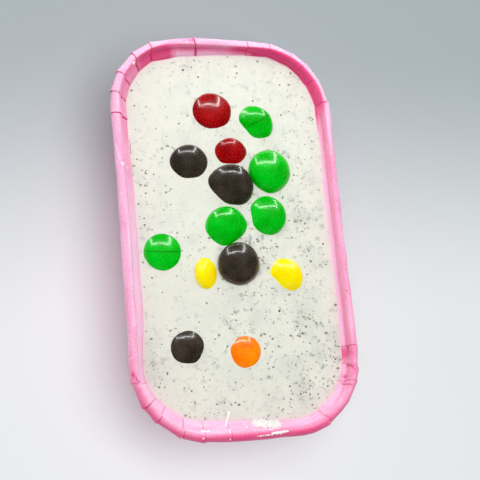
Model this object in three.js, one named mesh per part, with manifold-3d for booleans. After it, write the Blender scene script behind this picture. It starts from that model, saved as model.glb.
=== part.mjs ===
// A pressed-paper loaf tray with a rolled rim, filled with set cream that holds half-sunk sweets.
// Millimetres, +Z up: X is the tray's width and Y its length. The origin is on the ground under its middle.

import * as THREE from 'three';
import { mergeVertices } from 'three/addons/utils/BufferGeometryUtils.js';
import Module from 'manifold-3d';

// tray, measured over the rolled rim
const HALF_LENGTH = 65;
const HALF_WIDTH = 37.7;
const HEIGHT = 38;
const CORNER_RADIUS = 23.7;
const SIDE_BOW = -0.3;        // the long sides lean in a little at their middle
const END_BOW = 0.5;          // the ends bulge a little
const PAPER = 0.7;            // thickness of the pressed paper

// rolled rim and wall, as a section
const ROLL_RADIUS = 1.9;
const ROLL_END = 285;         // degrees of the roll, from its inner side over the top to its free edge
const CREASE_DROP = 0.45;     // the crease inside the roll, below the roll's centre
const LIP_DEPTH = 4.7;
const LIP_SLOPE = 32;         // degrees from upright
const WALL_SLOPE = 12;
const FLOOR_FILLET = 2.5;

// pleats in the rolled rim: the paper steps outward by PLEAT_STEP up to each, going anticlockwise
const PLEAT_STEP = 0.35;
const PLEAT_WIDTH = 1;        // degrees round a corner
const PLEAT_SEAM = 0.4;       // mm along a side
const CORNER_PLEATS = {
  topRight: [7, 29, 46, 60, 80],
  topLeft: [115, 132, 152, 169],
  bottomLeft: [192, 212, 226, 248, 265],
  bottomRight: [298, 338, 347],
};
const SIDE_SEAMS = { right: [-39], top: [9.7, -9.3], left: [38.4], bottom: [-8] };
const LARGEST_FACET = 25;     // degrees: between pleats no further apart than this, the rim is straight

// places round the rim where its section is set out
const CORNER_STRIDE = 8;      // degrees
const LONG_SIDE_PARTS = 9;
const END_PARTS = 5;

// cream
const GAP = 0.3;              // between pieces that touch
const CREAM_LEVEL = 33.4;     // height of its top at the tray's middle
const CREAM_RISE_X = 0.028;   // its top climbs towards +X and +Y, by mm for each mm
const CREAM_RISE_Y = 0.015;
const CREAM_RINGS = [0.85, 0.66, 0.44, 0.22];

// sweets: flat round lentils
const SWEET_FLATNESS = 0.5;   // half thickness for a radius of 1
const SWEET_SIDES = 16;
const SWEET_RINGS = 8;

// the middle, its rise over the level of the cream, the lean in degrees and the way it goes, the radius
const SWEETS = [
  { name: 'red_1', x: -3.4, y: 40.5, rise: -1.2, lean: 8, towards: 280, radius: 6.5 },
  { name: 'green_1', x: 10.5, y: 36.5, rise: -1.6, lean: 28, towards: 220, radius: 6.6 },
  { name: 'red_2', x: 1.6, y: 25.4, rise: -2.1, lean: 34, towards: 268, radius: 6.2 },
  { name: 'brown_1', x: -12.7, y: 22.6, rise: -1.3, lean: 20, towards: 268, radius: 6.6 },
  { name: 'green_2', x: 14.4, y: 20.3, rise: -0.2, lean: 4, towards: 270, radius: 6.9 },
  { name: 'brown_2', x: 0.6, y: 15.2, rise: -0.4, lean: 24, towards: 235, radius: 7.3 },
  { name: 'green_3', x: 11.7, y: 5.2, rise: -0.9, lean: 20, towards: 190, radius: 6.6 },
  { name: 'green_4', x: -2.0, y: 1.6, rise: -1.0, lean: 18, towards: 280, radius: 6.8 },
  { name: 'green_5', x: -23.4, y: -5.9, rise: -1.6, lean: 2, towards: 270, radius: 6.6 },
  { name: 'brown_3', x: 0.8, y: -10.5, rise: 0.4, lean: 8, towards: 275, radius: 6.9 },
  { name: 'yellow_1', x: -8.4, y: -13.0, rise: -2.7, lean: 48, towards: 0, radius: 6.0 },
  { name: 'yellow_2', x: 15.9, y: -15.3, rise: -1.8, lean: 30, towards: 212, radius: 6.5 },
  { name: 'brown_4', x: -17.4, y: -36.2, rise: -1.9, lean: 5, towards: 300, radius: 6.3 },
  { name: 'orange_1', x: 0.1, y: -38.3, rise: -2.0, lean: 8, towards: 180, radius: 6.3 },
];

const COLOURS = {
  paper: 0xf7a8d0,
  cream: 0xf0efe6,
  red: 0xb40f14,
  green: 0x12bf28,
  brown: 0x30281f,
  yellow: 0xffe005,
  orange: 0xff8c05,
};

const radians = THREE.MathUtils.degToRad;
const sin = (degrees) => Math.sin(radians(degrees));
const cos = (degrees) => Math.cos(radians(degrees));
const tan = (degrees) => Math.tan(radians(degrees));

// ---------------------------------------------------------------- plan of the rim

// A station is a place on the rim: a foot on the rectangle that joins the corners' centres, the way out from
// it in degrees, and how far the rim swells past its plain rounded rectangle there.

const CORE_X = HALF_WIDTH - CORNER_RADIUS;
const CORE_Y = HALF_LENGTH - CORNER_RADIUS;

// a corner's rim is straight between two near pleats, so it lies inside the arc by this much
function facetSwell(angle, from, to) {
  if (to - from > LARGEST_FACET) return 0;
  const half = (to - from) / 2;
  const chord = cos(half) / cos(angle - from - half);
  return CORNER_RADIUS * (chord - 1);
}

function cornerStations(footX, footY, start, pleats) {
  const stops = [start, ...pleats, start + 90];
  const stations = [];
  for (let i = 0; i + 1 < stops.length; i += 1) {
    const [from, to] = [stops[i], stops[i + 1]];
    const pleatAtEnd = i + 2 < stops.length;
    const first = i === 0 ? from : from + PLEAT_WIDTH / 2;
    const last = pleatAtEnd ? to - PLEAT_WIDTH / 2 : to;
    const steps = Math.max(1, Math.round((last - first) / CORNER_STRIDE));
    for (let k = 0; k <= steps; k += 1) {
      const angle = first + ((last - first) * k) / steps;
      const step = pleatAtEnd ? (PLEAT_STEP * (angle - from)) / (to - from) : 0;
      stations.push({ footX, footY, angle, swell: step + facetSwell(angle, from, to) });
    }
  }
  return stations;
}

// a side runs along the core's edge; along is its place from -1 to 1 in the sense of the walk
function sideStations(place, angle, halfRun, bow, seams, parts) {
  const runs = [-halfRun, ...seams, halfRun];
  const stations = [];
  for (let i = 0; i + 1 < runs.length; i += 1) {
    const seamAtEnd = i + 2 < runs.length;
    const first = i === 0 ? runs[i] : runs[i] + PLEAT_SEAM / 2;
    const last = seamAtEnd ? runs[i + 1] - PLEAT_SEAM / 2 : runs[i + 1];
    const steps = Math.max(1, Math.round(((last - first) / (2 * halfRun)) * parts));
    for (let k = 0; k <= steps; k += 1) {
      const run = first + ((last - first) * k) / steps;
      const [footX, footY] = place(run);
      const along = run / halfRun;
      const step = seamAtEnd ? (PLEAT_STEP * k) / steps : 0;
      stations.push({ footX, footY, angle, swell: step + bow * (1 - along * along) });
    }
  }
  const open = (s, i) => i > 0 && i < stations.length - 1;
  return stations.filter(open);
}

// anticlockwise from the right side, with each side's seams put in the order of the walk
function rimStations() {
  const { right, top, left, bottom } = SIDE_SEAMS;
  const back = (seams) => seams.map((s) => -s);
  return [
    ...sideStations((run) => [CORE_X, run], 0, CORE_Y, SIDE_BOW, right, LONG_SIDE_PARTS),
    ...cornerStations(CORE_X, CORE_Y, 0, CORNER_PLEATS.topRight),
    ...sideStations((run) => [-run, CORE_Y], 90, CORE_X, END_BOW, back(top), END_PARTS),
    ...cornerStations(-CORE_X, CORE_Y, 90, CORNER_PLEATS.topLeft),
    ...sideStations((run) => [-CORE_X, -run], 180, CORE_Y, SIDE_BOW, back(left), LONG_SIDE_PARTS),
    ...cornerStations(-CORE_X, -CORE_Y, 180, CORNER_PLEATS.bottomLeft),
    ...sideStations((run) => [run, -CORE_Y], 270, CORE_X, END_BOW, bottom, END_PARTS),
    ...cornerStations(CORE_X, -CORE_Y, 270, CORNER_PLEATS.bottomRight),
  ];
}

const STATIONS = rimStations();

// the swell dies away from the rim down to the floor
function planPoint(station, inset, z) {
  const fade = THREE.MathUtils.clamp((z / HEIGHT - 0.25) / 0.6, 0, 1);
  const reach = CORNER_RADIUS - inset + station.swell * fade;
  return [station.footX + reach * cos(station.angle), station.footY + reach * sin(station.angle)];
}

// ---------------------------------------------------------------- section of the tray

const ROLL_CENTRE = { inset: ROLL_RADIUS, z: HEIGHT - ROLL_RADIUS };
const CREASE = { inset: 2 * ROLL_RADIUS - 0.1, z: ROLL_CENTRE.z - CREASE_DROP };
const KNEE = { inset: CREASE.inset + LIP_DEPTH * tan(LIP_SLOPE), z: CREASE.z - LIP_DEPTH };
const FOOT_Z = PAPER + FLOOR_FILLET;
const FOOT = { inset: KNEE.inset + (KNEE.z - FOOT_Z) * tan(WALL_SLOPE), z: FOOT_Z };
const FLOOR_EDGE = { inset: FOOT.inset + 0.8 * FLOOR_FILLET, z: PAPER };
const FILLET = { inset: FOOT.inset + 0.25 * FLOOR_FILLET, z: PAPER + 0.3 * FLOOR_FILLET };

// the wall's inner face from the floor up, each point with its slope from upright
const WALL_LINE = [
  { ...FLOOR_EDGE, slope: 90 },
  { ...FILLET, slope: 50 },
  { ...FOOT, slope: 15 },
  { ...KNEE, slope: (LIP_SLOPE + WALL_SLOPE) / 2 },
  { ...CREASE, slope: LIP_SLOPE },
];

function shifted(point, distance) {
  return { inset: point.inset - distance * cos(point.slope), z: point.z - distance * sin(point.slope) };
}

function rollArc(radius, from, to, steps) {
  const arc = [];
  for (let k = 0; k <= steps; k += 1) {
    const angle = from + ((to - from) * k) / steps;
    arc.push({ inset: ROLL_CENTRE.inset + radius * cos(angle), z: ROLL_CENTRE.z + radius * sin(angle) });
  }
  return arc;
}

function traySection() {
  const inner = WALL_LINE;
  const over = rollArc(ROLL_RADIUS, 0, 270, 9);
  const tip = rollArc(ROLL_RADIUS, ROLL_END, ROLL_END, 1).slice(0, 1);
  const under = rollArc(ROLL_RADIUS - PAPER, ROLL_END, -10, 6);
  const outer = WALL_LINE.map((point) => shifted(point, PAPER)).reverse();
  return [...inner, ...over, ...tip, ...under, ...outer];
}

// ---------------------------------------------------------------- solids swept round the plan

// A lathe gives the faces, and each of its vertices is then put at its own place; place(station, row) returns
// x, y and z for one row of the section. The first and last rows lie on the axis, so they close the solid.
function sweptSolid(rows, place) {
  const profile = Array.from({ length: rows }, (_, row) => {
    const onAxis = row === 0 || row === rows - 1;
    return new THREE.Vector2(onAxis ? 0 : 1, row);
  });
  const geometry = new THREE.LatheGeometry(profile, STATIONS.length);
  const position = geometry.attributes.position;
  for (let turn = 0; turn <= STATIONS.length; turn += 1) {
    const station = STATIONS[(STATIONS.length - turn) % STATIONS.length];
    for (let row = 0; row < rows; row += 1) {
      position.setXYZ(turn * rows + row, ...place(station, row));
    }
  }
  return closedGeometry(geometry);
}

function closedGeometry(geometry) {
  geometry.deleteAttribute('normal');
  geometry.deleteAttribute('uv');
  return mergeVertices(geometry, 1e-5);
}

function trayGeometry() {
  const section = traySection();
  const rows = section.length + 2;
  return sweptSolid(rows, (station, row) => {
    if (row === 0) return [0, 0, PAPER];
    if (row === rows - 1) return [0, 0, 0];
    const { inset, z } = section[row - 1];
    return [...planPoint(station, inset, z), z];
  });
}

// ---------------------------------------------------------------- cream

const creamLevel = (x, y) => CREAM_LEVEL + CREAM_RISE_X * x + CREAM_RISE_Y * y;

// where the cream's top meets the lip at a station
function creamEdge(station) {
  let z = CREAM_LEVEL;
  let point = [0, 0];
  for (let pass = 0; pass < 4; pass += 1) {
    const inset = CREASE.inset + (CREASE.z - z) * tan(LIP_SLOPE) + GAP / cos(LIP_SLOPE);
    point = planPoint(station, inset, z);
    z = creamLevel(...point);
  }
  return [...point, z];
}

// the tray's inner face, moved in by the gap, carries the cream up to its edge; rings then close the top
function creamGeometry() {
  const wall = WALL_LINE.slice(0, 4).map((point) => shifted(point, -GAP));
  const rows = 1 + wall.length + 1 + CREAM_RINGS.length + 1;
  return sweptSolid(rows, (station, reversed) => {
    const row = rows - 1 - reversed;
    if (row === 0) return [0, 0, wall[0].z];
    if (row <= wall.length) {
      const { inset, z } = wall[row - 1];
      return [...planPoint(station, inset, z), z];
    }
    const [x, y, z] = creamEdge(station);
    if (row === wall.length + 1) return [x, y, z];
    const share = CREAM_RINGS[row - wall.length - 2] ?? 0;
    return [x * share, y * share, creamLevel(x * share, y * share)];
  });
}

// ---------------------------------------------------------------- sweets

function lentilGeometry(radius, extra) {
  const geometry = new THREE.SphereGeometry(1, SWEET_SIDES, SWEET_RINGS);
  geometry.rotateX(Math.PI / 2);
  geometry.scale(radius + extra, radius + extra, radius * SWEET_FLATNESS + extra);
  return closedGeometry(geometry);
}

// stands a lentil in its place: its flat face leans over towards the given way
function placeSweet(object, sweet) {
  const { x, y, rise, lean, towards } = sweet;
  const across = new THREE.Vector3(-sin(towards), cos(towards), 0);
  object.position.set(x, y, creamLevel(x, y) + rise);
  object.quaternion.setFromAxisAngle(across, radians(lean));
  object.updateMatrix();
}

// ---------------------------------------------------------------- joins and cuts

const wasm = await Module();
wasm.setup();

function toSolid(geometry) {
  const vertProperties = new Float32Array(geometry.attributes.position.array);
  const triVerts = new Uint32Array(geometry.index.array);
  return new wasm.Manifold(new wasm.Mesh({ numProp: 3, vertProperties, triVerts }));
}

function toGeometry(solid) {
  const { vertProperties, triVerts } = solid.getMesh();
  const geometry = new THREE.BufferGeometry();
  geometry.setAttribute('position', new THREE.BufferAttribute(vertProperties, 3));
  geometry.setIndex(new THREE.BufferAttribute(triVerts, 1));
  return geometry;
}

// the cream keeps a pocket a little larger than each sweet
function creamWithPockets() {
  let solid = toSolid(creamGeometry());
  for (const sweet of SWEETS) {
    const holder = new THREE.Object3D();
    placeSweet(holder, sweet);
    const cutter = lentilGeometry(sweet.radius, GAP).applyMatrix4(holder.matrix);
    solid = solid.subtract(toSolid(cutter));
  }
  return toGeometry(solid);
}

// ---------------------------------------------------------------- the object

function part(name, geometry, colour, roughness) {
  const material = new THREE.MeshStandardMaterial({ color: COLOURS[colour], roughness, metalness: 0 });
  const mesh = new THREE.Mesh(geometry, material);
  mesh.name = name;
  return mesh;
}

const boat = new THREE.Group();
boat.add(part('paper_tray', trayGeometry(), 'paper', 0.7));
boat.add(part('cream', creamWithPockets(), 'cream', 0.45));
for (const sweet of SWEETS) {
  const colour = sweet.name.split('_')[0];
  const mesh = part(`sweet_${sweet.name}`, lentilGeometry(sweet.radius, 0), colour, 0.2);
  placeSweet(mesh, sweet);
  boat.add(mesh);
}

export default boat;
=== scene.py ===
import math
import random
from collections import namedtuple

import bmesh
import bpy
import numpy as np
from mathutils import Euler, Matrix, Vector, noise
from mathutils.bvhtree import BVHTree


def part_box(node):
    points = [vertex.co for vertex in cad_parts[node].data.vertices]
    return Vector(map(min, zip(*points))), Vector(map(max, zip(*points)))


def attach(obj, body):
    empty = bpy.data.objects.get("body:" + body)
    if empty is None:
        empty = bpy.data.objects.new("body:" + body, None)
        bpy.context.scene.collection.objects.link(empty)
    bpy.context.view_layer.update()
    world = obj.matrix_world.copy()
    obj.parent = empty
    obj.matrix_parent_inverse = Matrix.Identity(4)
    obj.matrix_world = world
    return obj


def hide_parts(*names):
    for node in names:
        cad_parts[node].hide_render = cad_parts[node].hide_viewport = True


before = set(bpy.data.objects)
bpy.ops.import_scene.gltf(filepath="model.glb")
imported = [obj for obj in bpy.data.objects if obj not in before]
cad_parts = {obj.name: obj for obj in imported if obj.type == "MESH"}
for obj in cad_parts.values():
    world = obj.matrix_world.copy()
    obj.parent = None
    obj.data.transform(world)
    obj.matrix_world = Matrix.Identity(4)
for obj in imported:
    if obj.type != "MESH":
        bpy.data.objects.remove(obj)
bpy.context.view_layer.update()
MM = 0.001

# ---------------------------------------------------------------- camera
# The camera looks down on the lying tray from the side that the photograph shows: a little from the left and
# from the bare end. The lens keeps the photograph's perspective, and deep blacks its development.

CAMERA_PLACE = (-91.3, -63.5, 301.0)  # mm
CAMERA_ANGLES = (13.9, -18.0, -5.6)  # degrees
CAMERA_LENS = 67.5
SENSOR_WIDTH = 36
PHOTO_SIZE = 480  # pixels of the photograph's frame, wide and high
BLACK_LEVEL = 0.012

bpy.ops.object.camera_add(
    location=[place * MM for place in CAMERA_PLACE],
    rotation=[math.radians(angle) for angle in CAMERA_ANGLES],
)
camera = bpy.context.object
camera.data.lens = CAMERA_LENS
camera.data.sensor_width = SENSOR_WIDTH
bpy.context.scene.camera = camera
bpy.context.scene.view_settings.view_transform = "Standard"
bpy.context.scene.view_settings.use_curve_mapping = True
bpy.context.scene.view_settings.curve_mapping.black_level = [BLACK_LEVEL] * 3

# ---------------------------------------------------------------- paper tray
# The tray is one sheet of dyed, coated paper, pressed over a mould: its corners gather in pleats, and its
# edge is curled outward and under into a rolled rim. It is drawn up ring by ring from its floor, and then
# gets the paper's thickness.

HALF_LENGTH = 65.0  # mm, over the rolled rim
HALF_WIDTH = 37.7
TRAY_HEIGHT = 38.0
CORNER_RADIUS = 23.7
SIDE_BOW = -0.3
END_BOW = 0.5
PAPER = 0.7
ROLL_RADIUS = 1.9
ROLL_END = 285  # degrees of the curl, from its inner side over the top to its free edge
LIP_DEPTH = 4.7
LIP_SLOPE = math.radians(32)  # from upright
WALL_SLOPE = math.radians(12)
FLOOR_FILLET = 2.5
CORE_X = HALF_WIDTH - CORNER_RADIUS
CORE_Y = HALF_LENGTH - CORNER_RADIUS
ARC = CORNER_RADIUS * math.pi / 2

# Each pleat of a corner: its place in degrees round the tray, by how many it slants on its way inward, and
# how sharply it shows, from 0 to 1.
CORNER_PLEATS = {
    7: (-2, 0.8), 29: (2, 0.4), 46: (-1, 0.35), 60: (0, 0.35), 80: (2, 0.45),
    115: (4, 0.8), 132: (5, 1.0), 152: (3, 0.9), 169: (4, 0.9),
    192: (3, 0.45), 212: (0, 1.0), 226: (-2, 0.8), 248: (-2, 0.7), 265: (0, 0.6),
    297: (0, 0.6), 338: (-6, 0.5), 347: (5, 0.7),
}
# Each seam of a side: the side's turn, its place along the walk from the side's middle and its slant, in mm,
# and how sharply it shows.
SIDE_SEAMS = (
    (0, -39.0, 0.0, 0.8),
    (90, -9.7, -0.3, 0.6),
    (90, 9.3, -2.0, 1.0),
    (180, -38.4, 1.1, 0.9),
    (270, -8.0, 0.6, 0.5),
)
LARGEST_FACET = 25 * ARC / 90
WIDE_FACET = 0.45  # a wider span between pleats is flattened only by this share
FACET_SHARPNESS = 1.2  # how soon a facet is full, as its pleats get sharper
PLEAT_STEP = 0.22
PLEAT_LAP = 0.24  # how far the upper layer stands over the lower at a pleat, in mm
PLEAT_RUN = 2.2  # and how far from the pleat it comes down again
PLEAT_GROOVE = 0.12
PLEAT_WIDTH = 0.18
PLEAT_REACH = 9.0  # further off, a pleat leaves no trace
WALL_PLEAT = 0.3  # the share of a pleat's relief that runs down the wall
WALL_PLEAT_HEIGHT = 20.0  # and the height below which that fades out
# A press leaves the lip flatter on some stretches, by how far it leans in, in mm, and the crease under the
# roll shallower, from 0 to 1. The keys are turns round the tray in degrees: 0 on the right side, 90 at the
# far end.
LIP_LEANS = {
    0: 0.0, 20: 0.3, 26: 0.3, 30: 0.9, 35: 0.8, 39: 0.1, 44: 0.4, 51: -0.2, 58: -0.3, 66: -0.2, 73: -0.2,
    80: 0.1, 90: 0.3, 100: 0.7, 115: 0.9, 127: 0.4, 134: 0.6, 140: 0.5, 150: 0.2, 180: 0.4, 195: 0.4,
    205: 0.0, 213: -0.9, 221: -0.8, 230: 0.3, 255: 0.6, 270: 0.6, 285: 0.0, 297: -0.3, 315: 0.1, 325: -0.7,
    337: -0.5, 347: -0.4,
}
FLAT_CREASES = {
    0: 0.3, 26: 0.3, 36: 0.6, 70: 0.6, 78: 0.35, 112: 0.35, 122: 0.6, 150: 0.6, 175: 1.0, 215: 1.0, 240: 0.8,
    270: 0.8, 312: 0.8, 322: 0.5, 330: 0.3,
}
# the crease under the roll stands higher, the curl is tighter, and the rim stands further out on some
# stretches, in mm and in shares of its width
CREASE_RISES = {0: 0.3, 28: 0.3, 38: 0.4, 66: 0.4, 76: 1.1, 116: 1.1, 126: 0.8, 150: 0.6, 180: 0.0, 345: 0.0}
ROLL_WIDTHS = {
    0: 0.84, 30: 0.84, 38: 1.0, 64: 1.0, 76: 0.83, 116: 0.83, 130: 0.86, 150: 0.88, 180: 0.9, 240: 0.82,
    300: 0.82, 318: 0.84, 326: 0.78, 340: 0.76, 350: 0.79,
}
RIM_SETS = {
    0: 0.0, 26: 0.0, 33: 0.2, 38: -0.2, 48: -0.3, 56: -0.2, 66: 0.1, 80: 0.0, 200: 0.0, 217: -0.3, 228: -0.4,
    238: 0.0, 266: 0.3, 284: 0.4, 290: 0.75, 297: 1.0, 301: 0.8, 306: 0.4, 313: 0.6, 317: -0.1, 322: -0.5,
    328: -0.2, 335: 0.0,
}
# dents in the rim's sides, as a hand leaves them: the turn, the run, half its length, and its depth, in mm
DENTS = ((180, 30.0, 12.0, 0.45), (180, -8.0, 16.0, 0.2), (0, -20.0, 9.0, 0.12))
# the rim's swell reaches down the wall to this share of the height, and is full this much higher
SWELL_FROM = 0.25
SWELL_OVER = 0.6
# where the rim stands further out, the wall goes with it from this height on, and wholly this much higher
SET_FROM = 20.0
SET_OVER = 12.0
TREMBLES = ((7.0, 0.22), (2.3, 0.05))  # the paper's unevenness: its length and its height in mm
RIM_REACH = 20.0  # mm from the core to a place near the rim


def past(value, edge, fade):
    """How far a value lies past an edge: 0 up to the edge, and 1 once it has gone on by the fade."""
    return min(max((value - edge) / fade, 0), 1)


def bell(away):
    """A soft hump: 1 at the place itself, and next to nothing two steps away from it."""
    return math.exp(-(away**2))


def leg_starts():
    """Where each side and corner begins on a walk round the rim, anticlockwise from the right side."""
    lengths = [2 * CORE_Y, ARC, 2 * CORE_X, ARC] * 2
    return np.concatenate([[0], np.cumsum(lengths)])


LEGS = leg_starts()
ROUND = LEGS[-1]
CORE_CORNERS = ((CORE_X, -CORE_Y), (CORE_X, CORE_Y), (-CORE_X, CORE_Y), (-CORE_X, -CORE_Y))
WALK_WAYS = ((0, 1), (-1, 0), (0, -1), (1, 0))


def leg_of(walk):
    return int(np.searchsorted(LEGS, walk, side="right") - 1)


def walk_to_side(turn, run):
    half = CORE_Y if turn in (0, 180) else CORE_X
    return LEGS[turn // 90 * 2] + half + run


def walk_to_corner(degrees):
    return LEGS[int(degrees // 90) * 2 + 1] + (degrees % 90) / 90 * ARC


def along_rim(walk, at):
    """How far a walk has passed a place on the rim, below zero before it."""
    return (walk - at + ROUND / 2) % ROUND - ROUND / 2


def rim_foot(walk):
    """The foot on the rectangle that joins the corners' centres, and the way out from it."""
    walk = walk % ROUND
    leg = leg_of(walk)
    run = walk - LEGS[leg]
    quarter = leg // 2
    turn = math.radians(quarter * 90)
    if leg % 2 == 0:
        side_x, side_y = CORE_CORNERS[quarter]
        way_x, way_y = WALK_WAYS[quarter]
        return side_x + way_x * run, side_y + way_y * run, turn
    corner_x, corner_y = CORE_CORNERS[(quarter + 1) % 4]
    return corner_x, corner_y, turn + run / CORNER_RADIUS


def core_foot(x, y):
    """The nearest point of the rectangle that joins the corners' centres."""
    return min(max(x, -CORE_X), CORE_X), min(max(y, -CORE_Y), CORE_Y)


def walk_of(x, y):
    """The walk whose line out from the core passes through a point near the rim."""
    foot_x, foot_y = core_foot(x, y)
    if abs(x) <= CORE_X:
        return walk_to_side(90, -x) if y > 0 else walk_to_side(270, x)
    if abs(y) <= CORE_Y:
        return walk_to_side(0, y) if x > 0 else walk_to_side(180, -y)
    return walk_to_corner(math.degrees(math.atan2(y - foot_y, x - foot_x)) % 360)


def pleat_list():
    pleats = [(walk_to_corner(at), slant * ARC / 90, sharp) for at, (slant, sharp) in CORNER_PLEATS.items()]
    pleats += [(walk_to_side(turn, run), slant, sharp) for turn, run, slant, sharp in SIDE_SEAMS]
    return sorted(pleats)


PLEATS = pleat_list()


def rim_swell(walk):
    """How far the rim stands outside its plain rounded rectangle: bowed sides, facets and pleat steps."""
    walk = walk % ROUND
    leg = leg_of(walk)
    if leg % 2 == 0:
        along = 2 * (walk - LEGS[leg]) / (LEGS[leg + 1] - LEGS[leg]) - 1
        bow = (SIDE_BOW if leg % 4 == 0 else END_BOW) * (1 - along * along)
        for turn, run, length, depth in DENTS:
            bow -= depth * bell((walk - walk_to_side(turn, run)) / length) * (1 - along**4)
        return bow
    stops = [LEGS[leg]] + [at for at, _, _ in PLEATS if LEGS[leg] < at < LEGS[leg + 1]] + [LEGS[leg + 1]]
    place = int(np.searchsorted(stops, walk, side="right") - 1)
    start, end = stops[place], stops[min(place + 1, len(stops) - 1)]
    span = end - start
    if span <= 0:
        return 0.0
    half = span / 2 / CORNER_RADIUS
    facet = CORNER_RADIUS * (math.cos(half) / math.cos((walk - start) / CORNER_RADIUS - half) - 1)
    if span > LARGEST_FACET:
        facet *= WIDE_FACET
    bends = [sharp for at, _, sharp in PLEATS if at in (start, end)]
    facet *= min(1.0, FACET_SHARPNESS * sum(bends) / len(bends)) if bends else 1.0
    step = PLEAT_STEP * (walk - start) / span if place + 2 < len(stops) else 0.0
    return facet + step


def pleat_relief(walk, width=PLEAT_WIDTH):
    """Height of the folds over the sheet's face, and how deep a place lies in a fold, from 0 to 1."""
    height, depth = 0.0, 0.0
    for at, _, sharp in PLEATS:
        away = along_rim(walk, at)
        if abs(away) > PLEAT_REACH:
            continue
        crease = bell(away / width) * sharp
        height -= PLEAT_GROOVE * crease
        depth = max(depth, crease)
        if away < 0:
            height += PLEAT_LAP * sharp * math.exp(away / PLEAT_RUN)
    return height, depth


def pleat_slant(walk):
    places = [at for at, _, _ in PLEATS]
    slants = [slant for _, slant, _ in PLEATS]
    return float(np.interp(walk % ROUND, places, slants, period=ROUND))


def turn_at(x, y):
    """The turn round the tray of a place near the rim, in degrees."""
    return math.degrees(math.atan2(y / HALF_LENGTH, x / HALF_WIDTH)) % 360


def at_turn(table, turn):
    """The value that a table of turns round the tray gives for one of them."""
    return float(np.interp(turn, list(table), list(table.values()), period=360))


STATION_STRIDE = 1.5  # mm between the vertices of a ring
# The near right corner is crumpled, so its vertices stand closer. The crumple ends near this run of the right
# side, and the even stride starts again this far along it.
CRUMPLE_RUN = -40.5
CRUMPLE_LENGTH = 22.0
CRUMPLE_STRIDE = 0.4
CRUMPLE_STATIONS = 60
EVEN_FROM = 2.5
PLEAT_ROWS = (-1.0, -0.5, -0.25, -0.12, -0.05, 0.0, 0.05, 0.12, 0.25, 0.5, 1.0)  # mm across a pleat
CLEAR_OF_PLEAT = 1.1


def rim_stations():
    """Walks at which the rings have a vertex: an even stride, and close rows across each pleat."""
    crumple = walk_to_side(0, CRUMPLE_RUN) - CRUMPLE_LENGTH
    walks = [walk for walk in np.arange(0, ROUND, STATION_STRIDE) if EVEN_FROM < walk < crumple + ROUND]
    walks += [(crumple + CRUMPLE_STRIDE * k) % ROUND for k in range(CRUMPLE_STATIONS)]
    for at, _, _ in PLEATS:
        walks = [walk for walk in walks if abs(along_rim(walk, at)) > CLEAR_OF_PLEAT]
        walks += [at + shift for shift in PLEAT_ROWS]
    return sorted(walk % ROUND for walk in walks)


STATIONS = rim_stations()

# The sheet's section, from the floor's edge to the roll's free edge. Insets are from the rim's outer edge,
# and the roll's parts are set from its centre.
ROLL_Z = TRAY_HEIGHT - ROLL_RADIUS
ROLL_OVER_LIP = 0.1
ROLL_DROP = 0.45
LIP_TOP = (2 * ROLL_RADIUS - ROLL_OVER_LIP, ROLL_Z - ROLL_DROP)  # where the lip's slope meets the roll
KNEE = (LIP_TOP[0] + LIP_DEPTH * math.tan(LIP_SLOPE), LIP_TOP[1] - LIP_DEPTH)
FOOT_Z = PAPER + FLOOR_FILLET
FOOT = (KNEE[0] + (KNEE[1] - FOOT_Z) * math.tan(WALL_SLOPE), FOOT_Z)
FILLET_WIDTH = 0.8 * FLOOR_FILLET
FILLET_TURN = 78  # degrees from the flat floor to the wall
FILLET_ROWS = 5
WALL_ROWS = 6
LIP_ROWS = 12
LIP_SHARE = 0.74  # the lip is plain up to this share of its height, and then bends into the crease
LIP_SLANT_LOST = 0.35  # shares of a pleat's slant and of the lip's lean that are lost at its top
LIP_LEAN_LOST = 0.4
LIP_CURL = 0.5  # shares of the curl's width and of the crease's rise that its last row follows
LIP_RISE = 0.4
CREASE_INSET = 3.95
CREASE_DEPTH = 1.52  # below the roll's centre
CREASE_SLOPE = math.radians(70)
CREASE_SLANT = 0.7
CREASE_LEAN = 0.45
CREASE_FILL = 0.28  # mm that it comes up where it is pressed flat
ROLL_ROWS = 35
ROLL_START = -45  # the curl starts under its inner side, in a crease
CURL_INSET = 3.9  # of the curl's start where the press has filled it out, and less by the step at each row on
CURL_STEP = 0.115
CURL_FILL = 0.75  # mm that it comes up there
FILLED_ROWS = 13
CURL_SLANT = 0.65  # a pleat still slants by this share there, and less for as many rows
SLANT_ROWS = 22

# A row of the section: its inset and height, the slope of its face, its shares of a pleat's slant, of the
# lip's lean, of the curl's width and of the crease's rise, and how far it moves in and up where the crease
# is flat.
Row = namedtuple(
    "Row",
    "inset height slope slant lean curl rise flat_in flat_up",
    defaults=(1.0, 0.0, 0.0, 0.0, 0.0, 0.0),
)


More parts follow.
